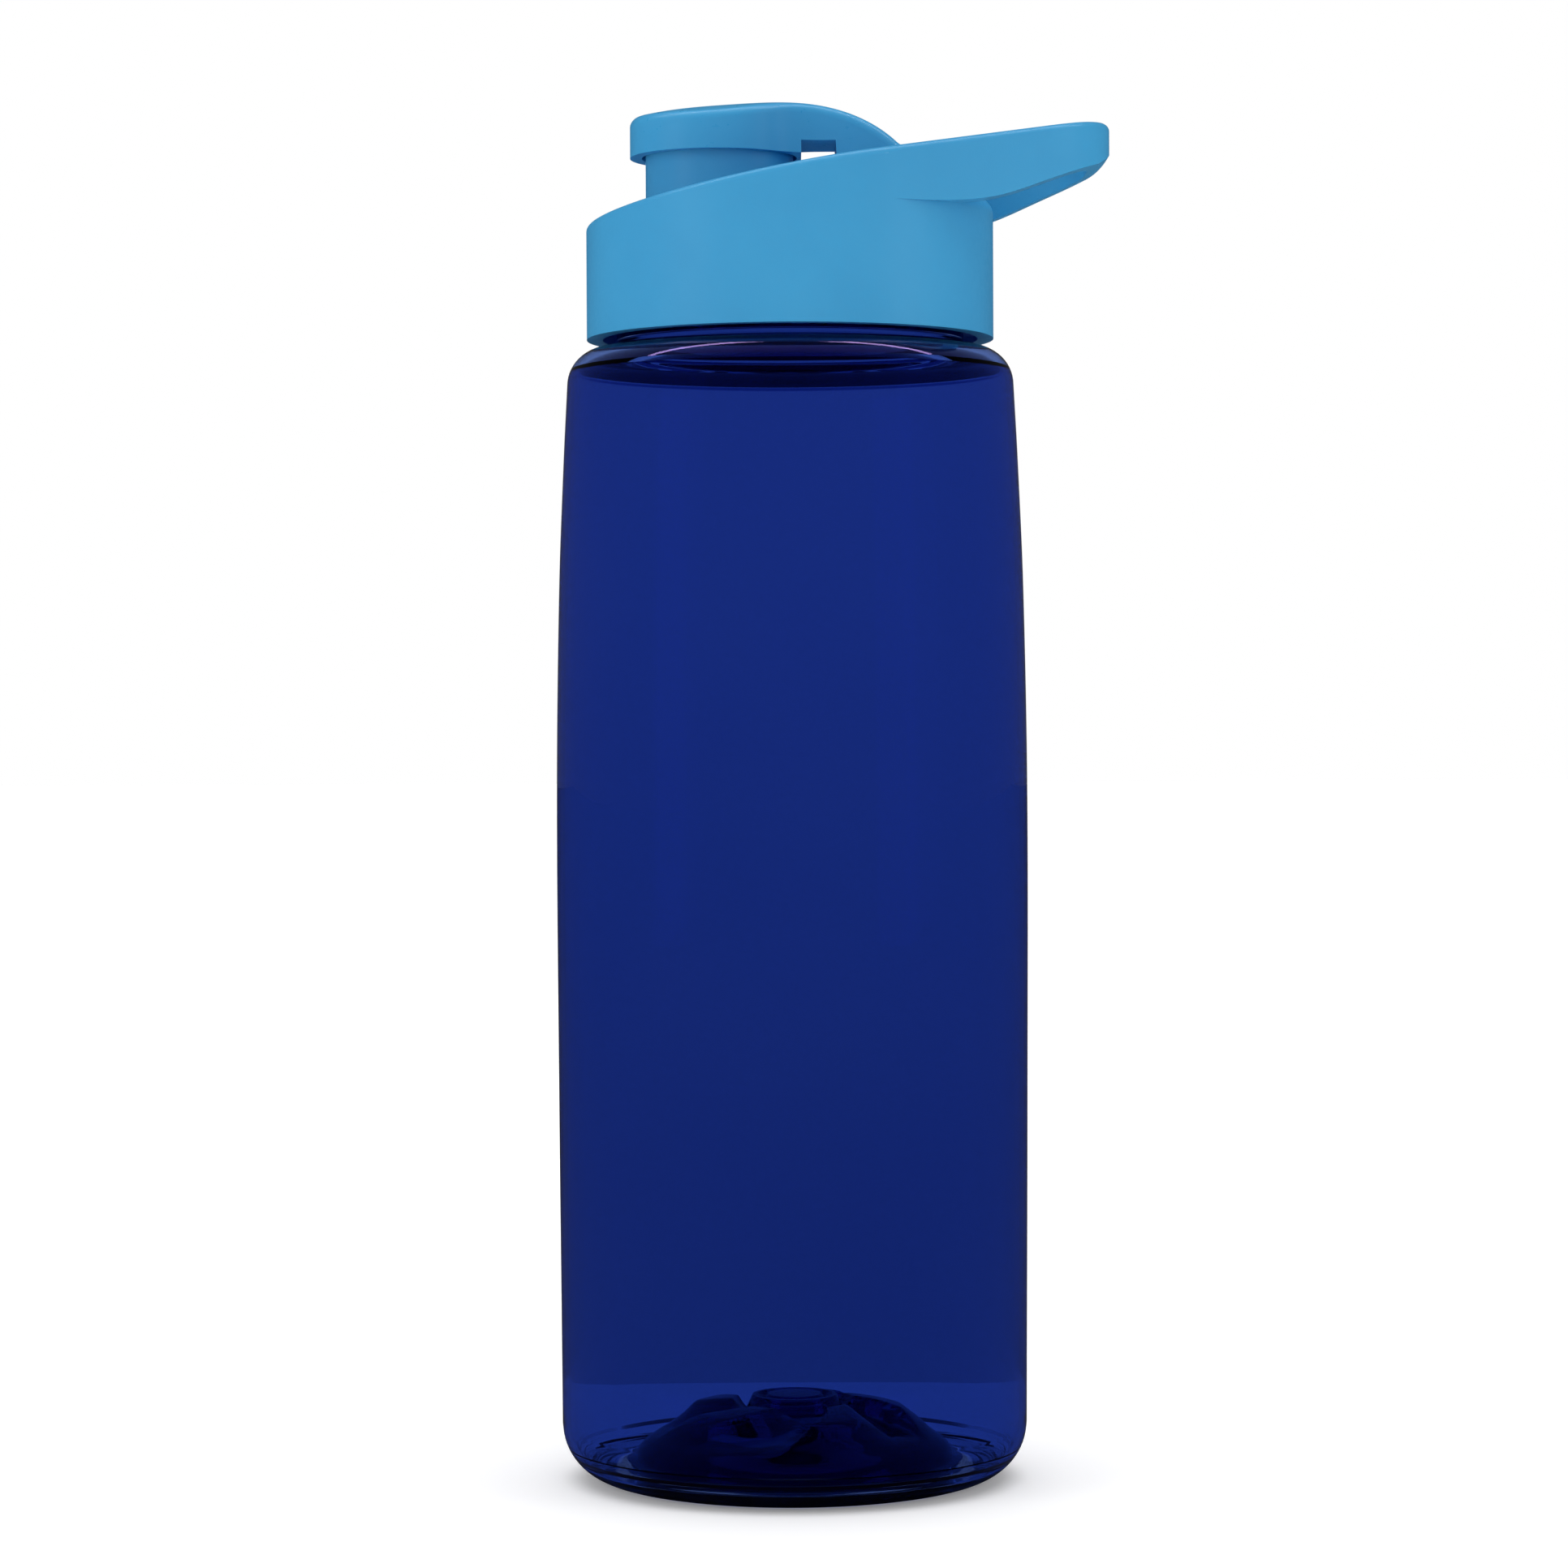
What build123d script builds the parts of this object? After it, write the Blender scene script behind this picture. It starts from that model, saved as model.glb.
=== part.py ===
"""Sports squeeze bottle with a screw-on drink-through lid, in millimetres.

The bottle stands on its base ring at z = 0 with its axis on Z. The lid's drinking spout is towards -X and its
carry loop towards +X. The lid screws on a right-hand thread, and its flip cover turns on a pin behind the spout.
"""

import os
from math import atan, cos, degrees, pi, sin

from build123d import *

# Bottle body
WALL = 1.2
BODY_R = 38.0
WIDEST_Z = 110.0
FOOT_R = 37.5
SHOULDER_R = 35.5
SHOULDER_Z = 182.3
FOOT_CORNER = 9.0
SHOULDER_CORNER = 6.0
NECK_FILLET = 1.2

# Push-up in the base: a low dome with a raised disc at its middle and swirled lobes around the disc
DOME_R = 25.4
DOME_RISE = 9.0
DISC_R = 7.2
DISC_RISE = 1.8
BASE_WALL = 2.0
LOBES = 5
LOBE_CIRCLE_R = 14.8
LOBE_LENGTH = 8.6
LOBE_WIDTH = 4.6
LOBE_RISE = 3.0
LOBE_TURN = 40.0
LOBE_PHASE = 158.0

# Neck and thread
NECK_R = 28.0
NECK_BORE_R = 25.4
NECK_TOP_Z = 195.4
PITCH = 4.0
THREAD_DEPTH = 1.5
THREAD_ROOT = 2.6
THREAD_CREST = 1.0
THREAD_SINK = 0.5
NECK_THREAD_Z = 187.2
NECK_THREAD_TURNS = 1.5
LID_THREAD_TURNS = 1.25
FLANK_OFFSET = 1.6

# Screw lid
LID_R = 32.8
LID_BORE_R = 30.2
SKIRT_Z = 183.7
RIM_Z = 208.3
RIM_SLOPE = 0.193
RIM_WALL = 3.8
RIM_ROUND = 1.1
DECK_Z = 202.8
DECK_SLOPE = 0.11
DECK_WALL = 2.2
DECK_ROUND = 2.6
LID_CEILING_Z = 196.3
SEAL_GROOVE_Z = 197.1
SEAL_GROOVE_R = 29.0
PLUG_R = 24.9
PLUG_BORE_R = 23.2
PLUG_Z = 192.6

# Carry loop
LOOP_END_R = 16.2
LOOP_END_X = 51.6
LOOP_UNDER = ((16.0, 203.1), (27.0, 203.5), (33.0, 204.6), (40.0, 207.2), (48.6, 210.6))
LOOP_UNDER_RISE = 0.4
LOOP_TIP_Z = 213.2
HOLE_END_X = 47.8
HOLE_END_R = 9.0
HOLE_END_HALF = 2.6

# Spout
SPOUT_X = -11.3
SPOUT_R = 11.9
SPOUT_BORE_R = 9.9
SPOUT_TOP_Z = 215.6
SPOUT_ROUND = 0.8

# Hinge
HINGE_X = 22.5
HINGE_Z = 208.6
PIN_R = 1.25
PIN_GAP = 0.05
KNUCKLE_R = 2.7
KNUCKLE_HALF = 7.2
EAR_GAP = 0.35
EAR_END = 10.2
EAR_FOOT = 4.2

# Flip cover
COVER_X = -11.9
COVER_R = 13.8
COVER_BORE_R = 12.5
CROWN_R = 44.0
COVER_TOP_Z = 221.6
COVER_RIM_Z = 213.0
COVER_TOP = ((-27.0, 218.8), (-16.2, 220.8), (-9.6, 221.3), (-3.1, 221.6), (3.5, 221.3), (11.4, 219.1), (17.3, 215.2))
COVER_SEAT_Z = 217.5
COVER_ROOF_Z = 219.2
COVER_RIB_R = 9.6
COVER_BOSS_R = 3.6
COVER_BOSS_Z = 216.0
COVER_ROUND = 1.6
ARM_X = 7.4
BRIDGE_Z = 215.0
ARM_Z = 206.7
ARM_HALF = 7.2
ARM_WALL = 2.0
ARM_POCKET = ((9.6, 200), (9.6, 217.6), (11.6, 216.8), (17.6, 212.4), (18.6, 200))
ARM_BLEND = 12.0

# Seals
LID_SEAL_R = 28.95
LID_SEAL_BORE_R = 24.97
SEAL_GAP = 0.05
COVER_SEAL_R = 12.2
COVER_SEAL_LIP_R = 9.6
COVER_SEAL_TIP_R = 8.9
COVER_SEAL_LIP_BORE_R = 7.4
COVER_SEAL_DEPTH = 2.0

# Vent valve
VENT_X = 10.5
VENT_STEM_R = 0.9
VENT_HOLE_R = 0.6
VENT_HOLES = 4
VENT_CIRCLE_R = 2.4
VENT_FLAP_R = 4.0
VENT_FLAP = 0.8
VENT_BULB_R = 1.5
VENT_BULB = 0.4
VENT_BULB_TOP = 1.5
DECK_WALL_NORMAL = DECK_WALL * cos(atan(DECK_SLOPE))

# Long enough to cut through any piece
REACH = 140.0


def rim_z(x):
    """Height of the sloping rim at x."""
    return RIM_Z + RIM_SLOPE * x


def deck_z(x):
    """Height of the deck's upper face at x."""
    return DECK_Z + DECK_SLOPE * x


def ceiling_z(x):
    """Height of the deck's underside at x."""
    return deck_z(x) - DECK_WALL


def side_wall(inset, foot_z, top_z):
    """Draw the barrel-shaped side of the bottle, inset from the outside, and return its two ends."""
    foot = (FOOT_R - inset, foot_z)
    waist = (BODY_R - inset, WIDEST_Z)
    top = (SHOULDER_R - inset, top_z)
    low = (BODY_R - inset - (BODY_R - FOOT_R) / 4, (foot_z + WIDEST_Z) / 2)
    high = (BODY_R - inset - (BODY_R - SHOULDER_R) / 4, (top_z + WIDEST_Z) / 2)
    ThreePointArc(foot, low, waist)
    ThreePointArc(waist, high, top)
    return foot, top


def nearest(corners, x, z):
    """The corner nearest to a point of the half section."""
    return corners.sort_by_distance((x, z, 0))[0]


def push_up(thickness):
    """The space under the bottle's floor, grown by thickness on its upper side."""
    dome_r = DOME_R + thickness
    top = DOME_RISE + thickness
    disc_r = DISC_R + thickness / 2
    with BuildPart() as space:
        with BuildSketch(Plane.XZ):
            with BuildLine():
                Polyline((0, -5), (dome_r, -5), (dome_r, 0))
                ThreePointArc((dome_r, 0), (dome_r * 0.8, top * 0.62), (disc_r + 1, top))
                Polyline((disc_r + 1, top), (disc_r, top + DISC_RISE), (0, top + DISC_RISE), (0, -5))
            make_face()
        revolve(axis=Axis.Z)
    tilt = degrees(atan(DOME_RISE / DOME_R))
    size = (LOBE_LENGTH + thickness, LOBE_WIDTH + thickness, LOBE_RISE + thickness)
    lobe = Pos(LOBE_CIRCLE_R, 0, DOME_RISE * 0.78) * Rot(0, tilt, 0) * Rot(0, 0, LOBE_TURN) * scale(Sphere(1), by=size)
    return space.part + [Rot(0, 0, LOBE_PHASE + i * 360 / LOBES) * lobe for i in range(LOBES)]


def thread_section(radius, outward):
    """The trapezoid section of a thread ridge at the start of its helix."""
    side = 1 if outward else -1
    rise = atan(PITCH / (2 * pi * radius))
    plane = Plane((radius, 0, 0), x_dir=(side, 0, 0), z_dir=(0, cos(rise), sin(rise)))
    with BuildSketch(plane) as section:
        with BuildLine():
            Polyline(
                (-THREAD_SINK, -THREAD_ROOT / 2),
                (THREAD_DEPTH, -THREAD_CREST / 2),
                (THREAD_DEPTH, THREAD_CREST / 2),
                (-THREAD_SINK, THREAD_ROOT / 2),
                close=True,
            )
        make_face()
    return section.sketch


def thread_ridge(radius, foot_z, start, turns, outward):
    """A right-hand thread ridge on a cylinder, rising from foot_z at start degrees."""
    with BuildPart() as ridge:
        with BuildLine() as path:
            Helix(PITCH, PITCH * turns, radius)
        sweep(thread_section(radius, outward), path=path.line, is_frenet=True)
    return Pos(0, 0, foot_z) * Rot(0, 0, start) * ridge.part


def slope_block(slope_height, above):
    """A block that fills the space above or below a plane sloping along X."""
    far = 400.0 if above else -400.0
    with BuildPart() as block:
        with BuildSketch(Plane.XZ):
            with BuildLine():
                Polyline(
                    (-REACH, slope_height(-REACH)),
                    (REACH, slope_height(REACH)),
                    (REACH, far),
                    (-REACH, far),
                    close=True,
                )
            make_face()
        extrude(amount=REACH, both=True)
    return block.part


def edges_on(edges, slope_height, from_x):
    """The edges that lie in a plane sloping along X, from from_x on."""
    found = []
    for edge in edges:
        points = [edge @ t for t in (0, 0.3, 0.7, 1)]
        if all(abs(p.Z - slope_height(p.X)) < 0.01 and p.X > from_x for p in points):
            found.append(edge)
    return found


def top_edges(edges):
    """The edges around the cover's domed top."""
    found = []
    for edge in edges:
        low, high = sorted([(edge @ 0).Z, (edge @ 1).Z])
        middle = edge @ 0.5
        around = abs(middle.Y) > 1 or middle.X < COVER_X
        upright = abs((edge % 0.5).Z) > 0.99
        under = abs(low - BRIDGE_Z) < 0.1
        if around and not upright and not under and low > HINGE_Z + 1 and high > COVER_RIM_Z + 1:
            found.append(edge)
    return found


def rod(x, z, radius, half):
    """A cylinder along Y, centred on the XZ plane."""
    return Pos(x, 0, z) * Rot(90, 0, 0) * Cylinder(radius, 2 * half)


# Tools that shape the pieces
floor_space = push_up(0)
floor_block = push_up(BASE_WALL)
neck_thread = thread_ridge(NECK_R, NECK_THREAD_Z, 0, NECK_THREAD_TURNS, True)
lid_thread = thread_ridge(LID_BORE_R, NECK_THREAD_Z - FLANK_OFFSET, 0, LID_THREAD_TURNS, False)
lid_column = Pos(0, 0, 200) * Cylinder(LID_R, 80)
above_rim = slope_block(rim_z, True)
knuckle = rod(HINGE_X, HINGE_Z, KNUCKLE_R, KNUCKLE_HALF)
press_hole = rod(HINGE_X, HINGE_Z, PIN_R, EAR_END + 1)
running_hole = rod(HINGE_X, HINGE_Z, PIN_R + PIN_GAP, KNUCKLE_HALF + 1)
vent_place = Pos(VENT_X, 0, deck_z(VENT_X)) * Rot(0, -degrees(atan(DECK_SLOPE)), 0)

with BuildPart() as lid_chamber:
    with BuildSketch(Plane.XY.offset(PLUG_Z - 1)):
        Circle(PLUG_BORE_R)
    extrude(amount=20)
    add(slope_block(ceiling_z, True), mode=Mode.SUBTRACT)

with BuildPart() as under_loop:
    with BuildSketch(Plane.XZ):
        with BuildLine():
            Line((-REACH, LOOP_UNDER[0][1]), LOOP_UNDER[0])
            Spline(*LOOP_UNDER, tangents=((1, 0), (1, LOOP_UNDER_RISE)))
            TangentArc(LOOP_UNDER[-1], (LOOP_END_X, LOOP_TIP_Z), tangent=(1, LOOP_UNDER_RISE))
            Polyline(
                (LOOP_END_X, LOOP_TIP_Z),
                (REACH, LOOP_TIP_Z),
                (REACH, -400),
                (-REACH, -400),
                (-REACH, LOOP_UNDER[0][1]),
            )
        make_face()
    extrude(amount=REACH, both=True)
    add(lid_column, mode=Mode.SUBTRACT)

with BuildPart() as deck_block:
    add(slope_block(deck_z, False) & lid_column)
    fillet(edges_on(deck_block.edges(), deck_z, -REACH), DECK_ROUND)

with BuildPart() as finger_well:
    with BuildSketch(Plane.XY.offset(SKIRT_Z - 5)):
        Circle(LID_R - RIM_WALL)
        with Locations((HOLE_END_X - HOLE_END_R, HOLE_END_HALF), (HOLE_END_X - HOLE_END_R, -HOLE_END_HALF)):
            Circle(HOLE_END_R)
        make_hull()
    extrude(amount=60)
    add(deck_block.part, mode=Mode.SUBTRACT)

with BuildPart() as hinge_ears:
    with BuildSketch(Plane.XZ):
        with Locations((HINGE_X, HINGE_Z)):
            Circle(KNUCKLE_R)
            Rectangle(2 * KNUCKLE_R, EAR_FOOT, align=(Align.CENTER, Align.MAX))
    extrude(amount=EAR_END, both=True)
    with Locations((HINGE_X, 0, HINGE_Z)):
        Box(REACH, 2 * (KNUCKLE_HALF + EAR_GAP), REACH, mode=Mode.SUBTRACT)

with BuildPart() as body_cavity:
    with BuildSketch(Plane.XZ):
        with BuildLine():
            foot, top = side_wall(WALL, WALL, SHOULDER_Z - WALL)
            Polyline(top, (NECK_BORE_R, SHOULDER_Z - WALL), (NECK_BORE_R, 200), (0, 200), (0, WALL), foot)
        corners = make_face().vertices()
        fillet(nearest(corners, *foot), FOOT_CORNER - WALL)
        fillet(nearest(corners, *top), SHOULDER_CORNER - WALL)
    revolve(axis=Axis.Z)
    add(floor_block, mode=Mode.SUBTRACT)

# Bottle body
with BuildPart() as bottle_body:
    with BuildSketch(Plane.XZ):
        with BuildLine():
            foot, top = side_wall(0, 0, SHOULDER_Z)
            Polyline(top, (NECK_R, SHOULDER_Z), (NECK_R, NECK_TOP_Z), (0, NECK_TOP_Z), (0, 0), foot)
        corners = make_face().vertices()
        fillet(nearest(corners, *foot), FOOT_CORNER)
        fillet(nearest(corners, *top), SHOULDER_CORNER)
        fillet(nearest(corners, NECK_R, SHOULDER_Z), NECK_FILLET)
    revolve(axis=Axis.Z)
    add(neck_thread)
    add(body_cavity.part, mode=Mode.SUBTRACT)
    add(floor_space, mode=Mode.SUBTRACT)
bottle_body.part.label = "bottle_body"

# Screw lid, one moulding with the spout, the deck and the carry loop
with BuildPart() as screw_lid:
    with BuildSketch(Plane.XY.offset(SKIRT_Z)):
        Circle(LID_R)
        with Locations((LOOP_END_X - LOOP_END_R, 0)):
            Circle(LOOP_END_R)
        make_hull()
    extrude(amount=60)
    add(above_rim, mode=Mode.SUBTRACT)
    add(under_loop.part, mode=Mode.SUBTRACT)
    add(finger_well.part, mode=Mode.SUBTRACT)
    fillet(edges_on(screw_lid.edges(), rim_z, -REACH), RIM_ROUND)
    with BuildSketch(Plane.XY.offset(SKIRT_Z)):
        Circle(LID_BORE_R)
    extrude(amount=LID_CEILING_Z - SKIRT_Z, mode=Mode.SUBTRACT)
    with BuildSketch(Plane.XY.offset(LID_CEILING_Z)):
        Circle(SEAL_GROOVE_R)
        Circle(PLUG_R, mode=Mode.SUBTRACT)
    extrude(amount=SEAL_GROOVE_Z - LID_CEILING_Z, mode=Mode.SUBTRACT)
    with BuildSketch(Plane.XY.offset(PLUG_Z)):
        Circle(PLUG_R)
    extrude(amount=SEAL_GROOVE_Z - PLUG_Z)
    with BuildSketch(Plane.XY.offset(SEAL_GROOVE_Z)):
        with Locations((SPOUT_X, 0)):
            Circle(SPOUT_R)
    extrude(amount=SPOUT_TOP_Z - SEAL_GROOVE_Z)
    fillet(screw_lid.edges().sort_by_distance((SPOUT_X - SPOUT_R, 0, SPOUT_TOP_Z))[0], SPOUT_ROUND)
    add(lid_chamber.part, mode=Mode.SUBTRACT)
    with BuildSketch(Plane.XY.offset(PLUG_Z)):
        with Locations((SPOUT_X, 0)):
            Circle(SPOUT_BORE_R)
    extrude(amount=40, mode=Mode.SUBTRACT)
    add(hinge_ears.part)
    add(press_hole, mode=Mode.SUBTRACT)
    with Locations(vent_place):
        Cylinder(VENT_STEM_R, 10, mode=Mode.SUBTRACT)
        with PolarLocations(VENT_CIRCLE_R, VENT_HOLES):
            Cylinder(VENT_HOLE_R, 10, mode=Mode.SUBTRACT)
    add(lid_thread)
screw_lid.part.label = "screw_lid"

# Flat seal between the neck and the lid
with BuildPart() as lid_seal:
    with BuildSketch(Plane.XY.offset(NECK_TOP_Z + SEAL_GAP)):
        Circle(LID_SEAL_R)
        Circle(LID_SEAL_BORE_R, mode=Mode.SUBTRACT)
    extrude(amount=SEAL_GROOVE_Z - NECK_TOP_Z - 2 * SEAL_GAP)
lid_seal.part.label = "lid_seal"

# Flip cover, crowned along and across
with BuildPart() as flip_cover:
    with BuildSketch(Plane.XZ):
        with BuildLine():
            Spline(*COVER_TOP)
            Polyline(
                COVER_TOP[-1],
                (HINGE_X + KNUCKLE_R * 0.7, HINGE_Z + KNUCKLE_R * 0.7),
                (HINGE_X + KNUCKLE_R * 0.7, COVER_TOP_Z - CROWN_R),
                (COVER_TOP[0][0], COVER_TOP_Z - CROWN_R),
                COVER_TOP[0],
            )
        make_face()
    revolve(axis=Axis((0, 0, COVER_TOP_Z - CROWN_R), (1, 0, 0)))
    with BuildSketch(Plane.XZ):
        with BuildLine():
            Polyline(
                (COVER_TOP[0][0], COVER_RIM_Z),
                (COVER_X + COVER_R, COVER_RIM_Z),
                (COVER_X + COVER_R, BRIDGE_Z),
                (ARM_X, BRIDGE_Z),
                (ARM_X + 0.6, ARM_Z),
                (HINGE_X, ARM_Z),
                (HINGE_X, HINGE_Z),
                (HINGE_X + REACH, HINGE_Z),
                (HINGE_X + REACH, 260),
                (COVER_TOP[0][0], 260),
                close=True,
            )
        make_face()
    extrude(amount=COVER_R + 1, both=True, mode=Mode.INTERSECT)
    with BuildSketch(Plane.XY.offset(ARM_Z - 5)) as plan:
        with Locations((COVER_X, 0)):
            Circle(COVER_R)
        with Locations((COVER_X, 0)):
            Rectangle(HINGE_X + KNUCKLE_R - COVER_X, 2 * ARM_HALF, align=(Align.MIN, Align.CENTER))
        fillet(plan.vertices().filter_by(lambda v: COVER_X < v.X < HINGE_X), ARM_BLEND)
    extrude(amount=30, mode=Mode.INTERSECT)
    fillet(top_edges(flip_cover.edges()), COVER_ROUND)
    add(knuckle)
    with BuildSketch(Plane.XY.offset(COVER_RIM_Z)):
        with Locations((SPOUT_X, 0)):
            Circle(COVER_BORE_R)
    extrude(amount=COVER_SEAT_Z - COVER_RIM_Z, mode=Mode.SUBTRACT)
    with BuildSketch(Plane.XY.offset(COVER_SEAT_Z)):
        with Locations((SPOUT_X, 0)):
            Circle(COVER_RIB_R)
    extrude(amount=COVER_ROOF_Z - COVER_SEAT_Z, mode=Mode.SUBTRACT)
    with BuildSketch(Plane.XY.offset(COVER_BOSS_Z)):
        with Locations((SPOUT_X, 0)):
            Circle(COVER_BOSS_R)
    extrude(amount=COVER_ROOF_Z - COVER_BOSS_Z)
    with BuildSketch(Plane.XZ):
        with BuildLine():
            Polyline(*ARM_POCKET, close=True)
        make_face()
    extrude(amount=ARM_HALF - ARM_WALL, both=True, mode=Mode.SUBTRACT)
    add(running_hole, mode=Mode.SUBTRACT)
flip_cover.part.label = "flip_cover"

# Spout seal, held on the cover's boss
with BuildPart() as cover_seal:
    with BuildSketch(Plane.XZ):
        with BuildLine():
            Polyline(
                (COVER_BOSS_R, SPOUT_TOP_Z + SEAL_GAP),
                (COVER_SEAL_LIP_BORE_R, SPOUT_TOP_Z + SEAL_GAP),
                (COVER_SEAL_LIP_BORE_R, SPOUT_TOP_Z - COVER_SEAL_DEPTH),
                (COVER_SEAL_TIP_R, SPOUT_TOP_Z - COVER_SEAL_DEPTH),
                (COVER_SEAL_LIP_R, SPOUT_TOP_Z + SEAL_GAP),
                (COVER_SEAL_R, SPOUT_TOP_Z + SEAL_GAP),
                (COVER_SEAL_R, COVER_SEAT_Z),
                (COVER_BOSS_R, COVER_SEAT_Z),
                close=True,
            )
        make_face()
    revolve(axis=Axis.Z)
cover_seal.part.label = "cover_seal"
cover_seal.part.location = Pos(SPOUT_X, 0, 0)

# Hinge pin
with BuildPart() as hinge_pin:
    with Locations((HINGE_X, 0, HINGE_Z)):
        Cylinder(PIN_R, 2 * EAR_END, rotation=(90, 0, 0))
hinge_pin.part.label = "hinge_pin"

# Umbrella vent valve: a stem through the deck, a flap under its holes and a bulb on top
with BuildPart() as vent_valve:
    with BuildSketch(Plane.XZ):
        with BuildLine():
            Polyline(
                (0, VENT_BULB_TOP),
                (VENT_STEM_R, VENT_BULB_TOP),
                (VENT_BULB_R, VENT_BULB),
                (VENT_BULB_R, 0),
                (VENT_STEM_R, 0),
                (VENT_STEM_R, -DECK_WALL_NORMAL),
                (VENT_FLAP_R, -DECK_WALL_NORMAL),
                (VENT_FLAP_R, -DECK_WALL_NORMAL - VENT_FLAP / 2),
                (0, -DECK_WALL_NORMAL - VENT_FLAP),
                close=True,
            )
        make_face()
    revolve(axis=Axis.Z)
vent_valve.part.label = "vent_valve"
vent_valve.part.location = vent_place

os.makedirs("parts", exist_ok=True)
export_step(bottle_body.part, "parts/bottle_body.step")
export_step(screw_lid.part, "parts/screw_lid.step")
export_step(lid_seal.part, "parts/lid_seal.step")
export_step(flip_cover.part, "parts/flip_cover.step")
export_step(cover_seal.part, "parts/cover_seal.step")
export_step(hinge_pin.part, "parts/hinge_pin.step")
export_step(vent_valve.part, "parts/vent_valve.step")
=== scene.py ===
"""Looks for the sports squeeze bottle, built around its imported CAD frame.

The bottle, camera and card are given in millimetres and scaled by MM, the floor and lights in metres.
"""

from math import cos, pi, radians, sin, sqrt

import bpy
from mathutils import Matrix, Vector


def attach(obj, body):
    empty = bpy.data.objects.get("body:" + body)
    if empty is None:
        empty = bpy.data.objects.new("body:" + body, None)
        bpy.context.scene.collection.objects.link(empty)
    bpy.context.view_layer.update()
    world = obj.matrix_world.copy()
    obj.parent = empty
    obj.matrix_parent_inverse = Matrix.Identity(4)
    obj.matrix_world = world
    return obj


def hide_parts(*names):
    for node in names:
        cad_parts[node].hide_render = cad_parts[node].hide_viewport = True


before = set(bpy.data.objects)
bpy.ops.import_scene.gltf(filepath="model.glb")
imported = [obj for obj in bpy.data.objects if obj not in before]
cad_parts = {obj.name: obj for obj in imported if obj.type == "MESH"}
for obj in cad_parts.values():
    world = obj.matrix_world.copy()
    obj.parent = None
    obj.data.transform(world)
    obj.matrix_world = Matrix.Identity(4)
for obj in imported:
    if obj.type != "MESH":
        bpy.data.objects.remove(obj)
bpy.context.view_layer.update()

MM = 0.001

# Camera, in front of the bottle, a little above its middle and tilted slightly down
LENS = 98.8
CAMERA_AT = (-1.3, -696.0, 122.0)
CAMERA_PITCH = 0.82
CAMERA_ROLL = 0.25

# Bottle body, as in the CAD
SIDE = (
    (9.0, 37.55),
    (20.0, 37.62),
    (61.0, 37.87),
    (110.0, 38.0),
    (144.0, 37.45),
    (165.0, 36.6),
    (176.3, 36.0),
)
FOOT_R = 28.5
FOOT_CORNER = 9.0
SHOULDER_CORNER = 6.0
SHOULDER_MID = (30.0, 176.3)
NECK_R = 28.0
NECK_BORE_R = 25.4
NECK_TOP = 195.4
WALL = 1.2
BASE_WALL = 2.0
PITCH = 4.0
THREAD_Z = 187.2
THREAD_TURNS = 1.5
THREAD_DEPTH = 1.45
PETALS = 5
PETAL_TURN = 20.0
SEGMENTS = 240

# Looks on the body, by material index; the dome's deep tint and the near-black bands are painted shade
OUTER_SKIN, INNER_SKIN, DOME, SHADE_BAND, NECK = range(5)


def smooth(low, high, x):
    """0 below low, 1 above high and an even S between."""
    t = min(1.0, max(0.0, (x - low) / (high - low)))
    return t * t * (3 - 2 * t)


def cubic_path(points, x):
    """Value at x of a smooth curve through points (x, y)."""
    for i in range(len(points) - 1):
        if x <= points[i + 1][0]:
            break
    x0, y0 = points[i]
    x1, y1 = points[i + 1]
    before = points[max(i - 1, 0)]
    after = points[min(i + 2, len(points) - 1)]
    slope0 = (y1 - before[1]) / (x1 - before[0])
    slope1 = (after[1] - y0) / (after[0] - x0)
    h = x1 - x0
    t = (x - x0) / h
    return (
        (2 * t**3 - 3 * t**2 + 1) * y0
        + (t**3 - 2 * t**2 + t) * h * slope0
        + (-2 * t**3 + 3 * t**2) * y1
        + (t**3 - t**2) * h * slope1
    )


def line(start, end, steps):
    """Points from start to end, without the end."""
    dr = (end[0] - start[0]) / steps
    dz = (end[1] - start[1]) / steps
    return [(start[0] + dr * i, start[1] + dz * i) for i in range(steps)]


def arc(mid, radius, start, end, steps):
    """Points of an arc, angles in degrees, without the end."""
    turns = [radians(start + (end - start) * i / steps) for i in range(steps)]
    return [(mid[0] + radius * cos(a), mid[1] + radius * sin(a)) for a in turns]


def push_up_z(r, turn, thickness):
    """Height of the base's push-up, with its middle disc and its swirled petals."""
    dome = 8.8 * sqrt(max(0.0, 1 - (r / 26.2) ** 2.6))
    disc = 2.6 * (1 - smooth(7.0, 7.9, r)) - 0.7 * smooth(4.6, 5.0, r) * (1 - smooth(5.6, 6.0, r))
    window = ramp_up(8.2, 10.0, r) * (1 - ramp_up(17.5, 22.5, r))
    place = (pi - turn - radians(PETAL_TURN) - 0.05 * (r - 14.8)) * PETALS / (2 * pi) + 0.5
    place -= place // 1
    petal = ramp_up(0.05, 0.42, place) * (1 - ramp_up(0.74, 0.80, place))
    return dome + disc + window * (2.9 * petal - 0.8) + thickness


def ramp_up(low, high, x):
    """0 below low, 1 above high and a straight slope between."""
    return min(1.0, max(0.0, (x - low) / (high - low)))


def thread_height(turn, z):
    """How far the neck's thread ridge stands out at a turn in radians and a height."""
    along = (z - THREAD_Z) / PITCH
    nearest = round(along - turn / (2 * pi)) + turn / (2 * pi)
    if nearest < 0:
        nearest += 1 if abs(along - nearest) > 0.5 else 0
    ends = smooth(-0.06, 0.04, nearest) * (1 - smooth(THREAD_TURNS - 0.04, THREAD_TURNS + 0.06, nearest))
    off = abs(along - nearest) * PITCH
    return THREAD_DEPTH * ends * (1 - smooth(0.45, 1.15, off))


def ring_step(z):
    """The fine ridges around the inside of the base corner, by the height they are at."""
    return sum(0.45 * smooth(at - 0.35, at, z) * (1 - smooth(at, at + 0.35, z)) for at in (2.3, 3.6, 5.2))


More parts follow.
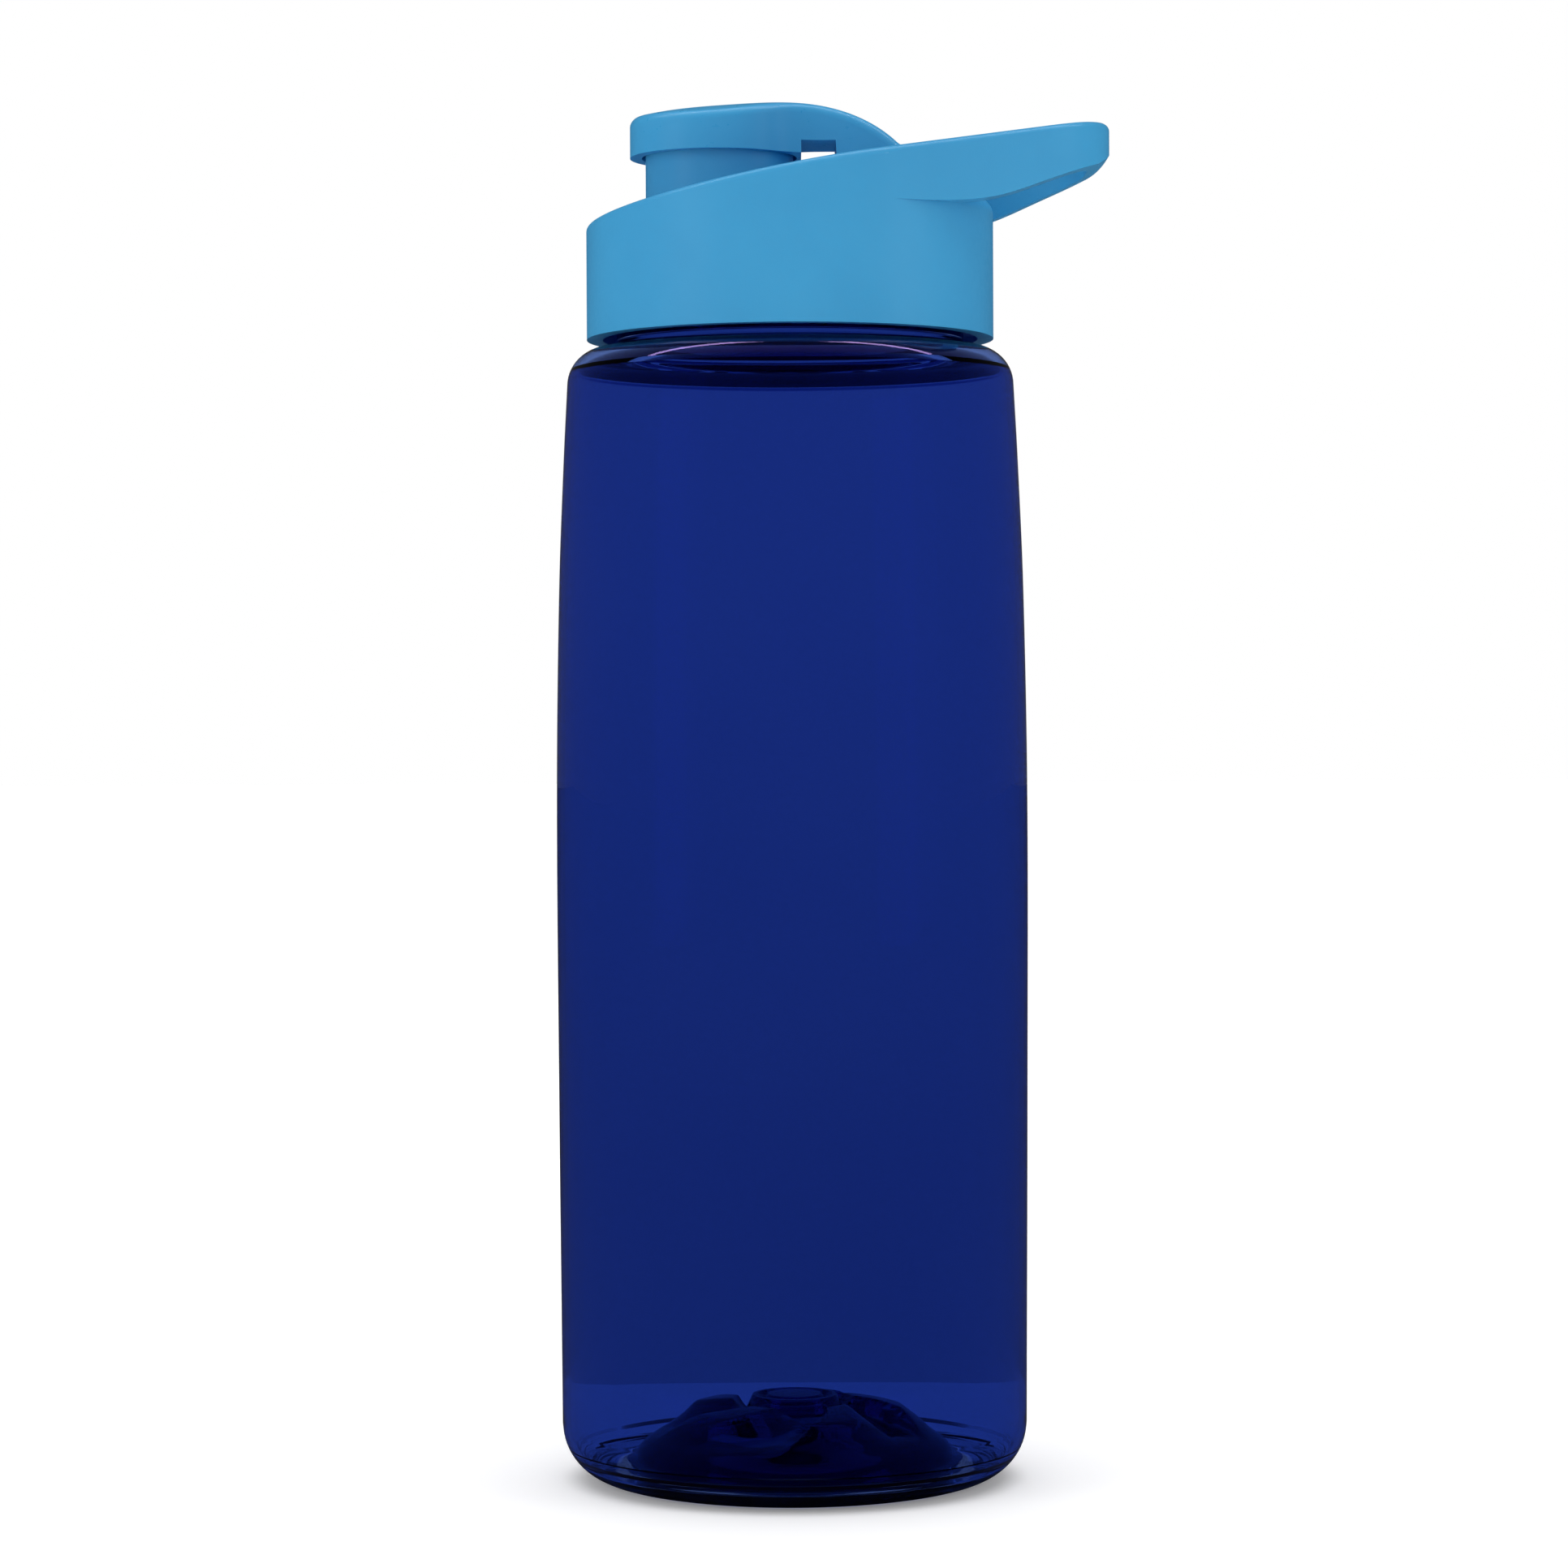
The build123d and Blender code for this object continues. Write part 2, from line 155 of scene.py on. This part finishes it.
def ring_look(r, z, inside):
    """Which look a ring of the body takes; the near-black bands at the base corner, the push-up's rim and
    inside the shoulder are painted shade.
    """
    if z is None and r > 20.5:
        return SHADE_BAND
    if z is None or (z < 3 and r < 27.2):
        return DOME
    if inside and 179.0 < z < 181.2 and 29.0 < r < 34.0:
        return SHADE_BAND
    if z > 178.5:
        return NECK
    if not inside and (0.1 < z < 2.2 or 3.4 < z < 4.1):
        return SHADE_BAND
    return INNER_SKIN if inside else OUTER_SKIN


def body_mesh():
    """The blow-moulded body as one closed skin: outside, lip, inside."""
    profile = [(0.6 * i, None, "push_up") for i in range(1, 43)]
    profile += [(r, z, "") for r, z in line((25.6, 0.25), (26.4, 0.0), 2)]
    profile += [(r, z, "") for r, z in line((26.4, 0.0), (FOOT_R, 0.0), 3)]
    foot = arc((FOOT_R, FOOT_CORNER), FOOT_CORNER, -90, 0, 18)
    profile += [(r, z, "") for r, z in foot]
    side_z = [FOOT_CORNER + (SHOULDER_MID[1] - FOOT_CORNER) * i / 60 for i in range(61)]
    profile += [(cubic_path(SIDE, z), z, "") for z in side_z]
    profile += [(r, z, "") for r, z in arc(SHOULDER_MID, SHOULDER_CORNER, 0, 90, 14)[1:]]
    profile += [(r, z, "") for r, z in line((30.0, 182.3), (29.2, 182.3), 2)]
    profile += [(r, z, "") for r, z in arc((29.2, 183.5), 1.2, -90, -180, 6)]
    profile += [(NECK_R, 183.5 + 0.16 * i, "thread") for i in range(71)]
    profile += [(r, z, "") for r, z in arc((27.4, 194.8), 0.6, 0, 90, 5)]
    profile += [(r, z, "") for r, z in arc((26.0, 194.8), 0.6, 90, 180, 5)]
    outer_rings = len(profile)
    profile += [(NECK_BORE_R, 194.8 - 13.0 * i / 20, "") for i in range(20)]
    profile += [(r, z, "") for r, z in arc((27.0, 182.0), 1.6, 180, 270, 6)]
    profile += [(r, z, "") for r, z in arc(SHOULDER_MID, SHOULDER_CORNER - WALL, 90, 0, 12)]
    profile += [(cubic_path(SIDE, z) - WALL, z, "") for z in reversed(side_z)]
    profile += [(r, z, "corner") for r, z in arc((FOOT_R, FOOT_CORNER), FOOT_CORNER - WALL, 0, -75, 30)[1:]]
    inner_r = [27.9 - 0.62 * i for i in range(1, 45)]
    profile += [(r, None, "inside") for r in inner_r]
    verts = [(0.0, 0.0, push_up_z(0, 0, 0) * MM)]
    for r, z, kind in profile:
        for k in range(SEGMENTS):
            turn = 2 * pi * k / SEGMENTS
            height, radius = z, r
            if kind == "push_up":
                height = push_up_z(r, turn, 0)
            elif kind == "inside":
                height = max(push_up_z(min(r, 26.1), turn, BASE_WALL), 1.9)
            elif kind == "corner":
                height += ring_step(z)
            elif kind == "thread":
                radius += thread_height(turn, z)
            verts.append((radius * cos(turn) * MM, radius * sin(turn) * MM, height * MM))
    verts.append((0.0, 0.0, push_up_z(0, 0, BASE_WALL) * MM))
    faces, looks = [], []
    for k in range(SEGMENTS):
        n = (k + 1) % SEGMENTS
        faces.append((0, 1 + n, 1 + k))
        looks.append(DOME)
        for ring in range(len(profile) - 1):
            a, b = 1 + ring * SEGMENTS, 1 + (ring + 1) * SEGMENTS
            faces.append((a + k, a + n, b + n, b + k))
            looks.append(ring_look(*profile[ring][:2], ring >= outer_rings))
        last = 1 + (len(profile) - 1) * SEGMENTS
        faces.append((last + k, last + n, len(verts) - 1))
        looks.append(DOME)
    mesh = bpy.data.meshes.new("body_shell")
    for look in (outer_skin, inner_skin, dome_shaded_clear, shade_band_clear, neck_clear):
        mesh.materials.append(look)
    mesh.from_pydata(verts, [], faces)
    mesh.polygons.foreach_set("material_index", looks)
    mesh.validate()
    mesh.shade_smooth()
    mesh.set_sharp_from_angle(angle=radians(22))
    return mesh


def new_piece(name, mesh, body):
    """A new visible piece that rides on a body."""
    piece = bpy.data.objects.new(name, mesh)
    bpy.context.scene.collection.objects.link(piece)
    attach(piece, body)
    return piece


class Nodes:
    """A small helper for making a material's node tree."""

    def __init__(self, name):
        self.material = bpy.data.materials.new(name)
        self.material.use_nodes = True
        self.tree = self.material.node_tree
        self.shader = next(n for n in self.tree.nodes if n.type == "BSDF_PRINCIPLED")
        self.place = self.add("ShaderNodeTexCoord").outputs["Object"]

    def add(self, kind, **inputs):
        node = self.tree.nodes.new(kind)
        for key, value in inputs.items():
            node.inputs[key.replace("_", " ")].default_value = value
        return node

    def join(self, out, into):
        self.tree.links.new(out, into)

    def noise(self, scale, detail=3.0, stretch=None):
        node = self.add("ShaderNodeTexNoise", Scale=scale, Detail=detail, Roughness=0.55)
        if stretch:
            mapping = self.add("ShaderNodeMapping", Scale=stretch)
            self.join(self.place, mapping.inputs["Vector"])
            self.join(mapping.outputs["Vector"], node.inputs["Vector"])
        else:
            self.join(self.place, node.inputs["Vector"])
        return node.outputs["Fac"]

    def ramp(self, fac, low, high):
        node = self.add("ShaderNodeMapRange", From_Min=0.3, From_Max=0.7, To_Min=low, To_Max=high)
        self.join(fac, node.inputs["Value"])
        return node.outputs["Result"]

    def mix_colour(self, fac, low, high):
        """Mix of two colours, of which the low one may also be another node's output."""
        node = self.tree.nodes.new("ShaderNodeMix")
        node.data_type = "RGBA"
        if isinstance(low, tuple):
            node.inputs["A"].default_value = low
        else:
            self.join(low, node.inputs["A"])
        node.inputs["B"].default_value = high
        self.join(fac, node.inputs["Factor"])
        return node.outputs["Result"]

    def bump(self, height, distance, strength, normal=None):
        node = self.add("ShaderNodeBump", Strength=strength, Distance=distance)
        self.join(height, node.inputs["Height"])
        if normal is not None:
            self.join(normal, node.inputs["Normal"])
        return node.outputs["Normal"]


def set_inputs(shader, **values):
    """Set constants on a shader's own sockets."""
    for key, value in values.items():
        shader.inputs[key.replace("_", " ")].default_value = value


def moulded_plastic(name, colour, deeper, roughness):
    """Satin injection-moulded plastic with a fine grain and slight flow marks."""
    m = Nodes(name)
    set_inputs(m.shader, IOR=1.49)
    flow = m.ramp(m.noise(55.0), 0.0, 1.0)
    m.join(m.mix_colour(flow, (*colour, 1), (*deeper, 1)), m.shader.inputs["Base Color"])
    m.join(m.ramp(m.noise(900.0, 4.0), roughness - 0.05, roughness + 0.06), m.shader.inputs["Roughness"])
    grain = m.bump(m.noise(5200.0, 2.0), 0.00004, 0.35)
    m.join(m.bump(m.noise(70.0, 2.0), 0.0006, 0.06, grain), m.shader.inputs["Normal"])
    return m.material


def tinted_clear(name, tint, deeper, ior, rough=0.003, wave=0.03):
    """Clear tinted plastic with the slight waviness of a blown wall."""
    m = Nodes(name)
    # Its reflections take a violet tint: a painted colour on its highlights
    set_inputs(m.shader, IOR=ior, Transmission_Weight=1.0, Specular_Tint=(0.45, 0.16, 1.0, 1))
    patches = m.ramp(m.noise(18.0, 2.0), 0.0, 1.0)
    m.join(m.mix_colour(patches, (*tint, 1), (*deeper, 1)), m.shader.inputs["Base Color"])
    m.join(m.ramp(m.noise(120.0), rough, rough + 0.006), m.shader.inputs["Roughness"])
    m.join(m.bump(m.noise(45.0, 2.0, (1.0, 1.0, 0.35)), 0.001, wave), m.shader.inputs["Normal"])
    return m.material


def silicone(name, colour):
    """Matt, slightly cloudy silicone rubber."""
    m = Nodes(name)
    set_inputs(m.shader, IOR=1.41, Subsurface_Weight=0.3, Subsurface_Scale=0.002)
    cloud = m.ramp(m.noise(200.0), 0.0, 1.0)
    darker = tuple(c * 0.85 for c in colour)
    m.join(m.mix_colour(cloud, (*colour, 1), (*darker, 1)), m.shader.inputs["Base Color"])
    m.join(m.ramp(m.noise(1500.0), 0.42, 0.58), m.shader.inputs["Roughness"])
    m.join(m.bump(m.noise(3000.0), 0.00003, 0.3), m.shader.inputs["Normal"])
    return m.material


def dress(node_name, material):
    """Give a carried-over CAD node its material."""
    for material_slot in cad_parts[node_name].material_slots:
        material_slot.material = material


# Camera
camera_data = bpy.data.cameras.new("camera")
camera_data.lens = LENS
camera_data.sensor_width = 36.0
camera_data.clip_start = 0.01
camera_data.clip_end = 100.0
camera = bpy.data.objects.new("camera", camera_data)
bpy.context.scene.collection.objects.link(camera)
camera.matrix_world = (
    Matrix.Translation(Vector(CAMERA_AT) * MM)
    @ Matrix.Rotation(radians(90 - CAMERA_PITCH), 4, "X")
    @ Matrix.Rotation(radians(-CAMERA_ROLL), 4, "Z")
)
bpy.context.scene.camera = camera

# Materials
SKY = (0.043, 0.326, 0.610)
SKY_DEEP = (0.038, 0.304, 0.582)
lid_plastic = moulded_plastic("lid_plastic", SKY, SKY_DEEP, 0.34)
cover_plastic = moulded_plastic("cover_plastic", SKY, SKY_DEEP, 0.32)
outer_skin = tinted_clear("outer_skin", (0.0085, 0.0255, 0.205), (0.0075, 0.0235, 0.198), 1.22)
inner_skin = tinted_clear("inner_skin", (1.0, 1.0, 1.0), (0.97, 0.98, 1.0), 1.22)
# The dome's tint is much deeper than the wall's: painted shade on the push-up
dome_shaded_clear = tinted_clear("dome_shaded_clear", (0.004, 0.014, 0.075), (0.002, 0.008, 0.05), 1.62, 0.0, 0.02)
# Near-black tint for the bands at the base corner, push-up rim and inside the shoulder: painted shade
shade_band_clear = tinted_clear("shade_band_clear", (0.0004, 0.001, 0.006), (0.0003, 0.0008, 0.004), 1.54, 0.01)
neck_clear = tinted_clear("neck_clear", (0.085, 0.150, 0.45), (0.075, 0.140, 0.43), 1.54, 0.005, 0.03)
seal_silicone = silicone("seal_silicone", (0.62, 0.66, 0.70))
dress("screw_lid", lid_plastic)
dress("flip_cover", cover_plastic)
dress("hinge_pin", lid_plastic)
dress("lid_seal", seal_silicone)
dress("cover_seal", seal_silicone)
dress("vent_valve", seal_silicone)

body_shell = new_piece("body_shell", body_mesh(), "bottle")
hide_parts("bottle_body")

# Pale floor, which glows though it is no lamp: a little to the camera, painted light that whitens it and
# lightens the shade on it, and fully to rays through the clear wall, painted light under the body in place
# of light passing through it; in reflections it is near black, a painted dark reflection
FLOOR_COLOUR = (0.93, 0.93, 0.93, 1)
FLOOR_DARK_IN_REFLECTIONS = (0.02, 0.02, 0.02, 1)
BLACK = (0, 0, 0, 1)
FLOOR_CAMERA_GLOW = 0.18
floor_mesh = bpy.data.meshes.new("studio_floor")
floor_mesh.from_pydata([(-8, -8, 0), (8, -8, 0), (8, 8, 0), (-8, 8, 0)], [], [(0, 1, 2, 3)])
studio_floor = bpy.data.objects.new("studio_floor", floor_mesh)
bpy.context.scene.collection.objects.link(studio_floor)
floor_look = Nodes("floor_look")
set_inputs(floor_look.shader, Roughness=0.8, Emission_Color=(1, 1, 1, 1))
floor_ray = floor_look.add("ShaderNodeLightPath")
floor_mirrored = floor_look.add("ShaderNodeMath")
floor_mirrored.operation = "SUBTRACT"
floor_mirrored.use_clamp = True
floor_look.join(floor_ray.outputs["Is Glossy Ray"], floor_mirrored.inputs[0])
floor_look.join(floor_ray.outputs["Is Transmission Ray"], floor_mirrored.inputs[1])
# For rays through the clear wall the floor is black and glows at full strength: painted light under the
# body
floor_seen = floor_look.mix_colour(floor_ray.outputs["Is Transmission Ray"], FLOOR_COLOUR, BLACK)
# In reflections the floor is near black: a painted dark reflection
floor_level = floor_look.mix_colour(floor_mirrored.outputs["Value"], floor_seen, FLOOR_DARK_IN_REFLECTIONS)
floor_look.join(floor_level, floor_look.shader.inputs["Base Color"])
floor_glow = floor_look.add("ShaderNodeMath")
floor_glow.operation = "MULTIPLY_ADD"
floor_glow.inputs[1].default_value = FLOOR_CAMERA_GLOW
floor_look.join(floor_ray.outputs["Is Camera Ray"], floor_glow.inputs[0])
floor_look.join(floor_ray.outputs["Is Transmission Ray"], floor_glow.inputs[2])
floor_look.join(floor_glow.outputs["Value"], floor_look.shader.inputs["Emission Strength"])
floor_mesh.materials.append(floor_look.material)

# White surround, with its own strength for diffuse light, for reflections and through the wall
world = bpy.data.worlds.new("studio")
bpy.context.scene.world = world
world.use_nodes = True
sky_tree = world.node_tree
sky = sky_tree.nodes["Background"]
sky.inputs["Color"].default_value = (1, 1, 1, 1)
ray = sky_tree.nodes.new("ShaderNodeLightPath")


def sky_level(ray_kind, level, otherwise):
    """The surround's brightness for one kind of ray, and what it is for the others."""
    node = sky_tree.nodes.new("ShaderNodeMix")
    node.inputs["B"].default_value = level
    sky_tree.links.new(ray.outputs[ray_kind], node.inputs["Factor"])
    if isinstance(otherwise, float):
        node.inputs["A"].default_value = otherwise
    else:
        sky_tree.links.new(otherwise, node.inputs["A"])
    return node.outputs["Result"]


seen = sky_level("Is Diffuse Ray", 0.54, 1.0)
seen = sky_level("Is Glossy Ray", 0.05, seen)
seen = sky_level("Is Transmission Ray", 1.0, seen)
sky_tree.links.new(seen, sky.inputs["Strength"])


def soft_box(name, at, aim, width, height, power, in_gloss=False):
    """An area light aimed at a point, in metres and watts, kept out of reflections unless asked."""
    light_data = bpy.data.lights.new(name, "AREA")
    light_data.shape = "RECTANGLE"
    light_data.size = width
    light_data.size_y = height
    light_data.energy = power
    light = bpy.data.objects.new(name, light_data)
    bpy.context.scene.collection.objects.link(light)
    light.visible_glossy = in_gloss
    light.location = at
    light.rotation_euler = (Vector(aim) - Vector(at)).to_track_quat("-Z", "Y").to_euler()
    return light


# Soft boxes left, right and behind, a long strip seen only in reflections, and a broad overhead light
soft_box("left_box", (-1.1, -0.7, 0.5), (0, 0, 0.13), 0.6, 1.0, 4.0)
soft_box("right_box", (1.2, -0.5, 0.5), (0, 0, 0.13), 0.5, 1.0, 3.0)
rim_box = soft_box("rim_box", (0.0, 1.6, 0.95), (0, 0, 0.2), 2.4, 0.16, 4.0)
rim_box.visible_transmission = False
top_strip = soft_box("top_strip", (0.0, 0.1, 1.3), (0, 0, 0.2), 2.6, 0.10, 7.0, True)
top_strip.visible_diffuse = False
top_strip.visible_transmission = False
overhead_data = bpy.data.lights.new("overhead", "SUN")
overhead_data.energy = 1.7
overhead_data.angle = radians(70)
overhead = bpy.data.objects.new("overhead", overhead_data)
bpy.context.scene.collection.objects.link(overhead)
overhead.visible_glossy = False

# A card behind the bottle that glows, dimmer towards its foot, which only rays through the clear wall can
# see: painted light and shade seen through the body
CARD_Y = 90.0
CARD_CORNERS = ((-160, 1), (160, 1), (160, 290), (-160, 290))
CARD_FADE_Z = (0.0, 190.0)
CARD_LEVELS = (0.72, 1.0)
card_mesh = bpy.data.meshes.new("graded_panel")
card_mesh.from_pydata([(x * MM, CARD_Y * MM, z * MM) for x, z in CARD_CORNERS], [], [(0, 1, 2, 3)])
glowing_card = bpy.data.objects.new("graded_panel", card_mesh)
bpy.context.scene.collection.objects.link(glowing_card)
glowing_card.visible_camera = False
glowing_card.visible_diffuse = False
glowing_card.visible_glossy = False
glowing_card.visible_shadow = False
card_look = Nodes("panel_look")
card_axes = card_look.add("ShaderNodeSeparateXYZ")
card_look.join(card_look.place, card_axes.inputs["Vector"])
card_fade = card_look.add("ShaderNodeMapRange")
card_fade.interpolation_type = "SMOOTHSTEP"
card_look.join(card_axes.outputs["Z"], card_fade.inputs["Value"])
for end, height, level in zip(("Min", "Max"), CARD_FADE_Z, CARD_LEVELS):
    card_fade.inputs["From " + end].default_value = height * MM
    card_fade.inputs["To " + end].default_value = level
card_glow = card_look.add("ShaderNodeEmission")
card_look.join(card_fade.outputs["Result"], card_glow.inputs["Strength"])
card_out = next(n for n in card_look.tree.nodes if n.type == "OUTPUT_MATERIAL")
card_look.join(card_glow.outputs["Emission"], card_out.inputs["Surface"])
card_mesh.materials.append(card_look.material)

bpy.context.scene.view_settings.view_transform = "Standard"
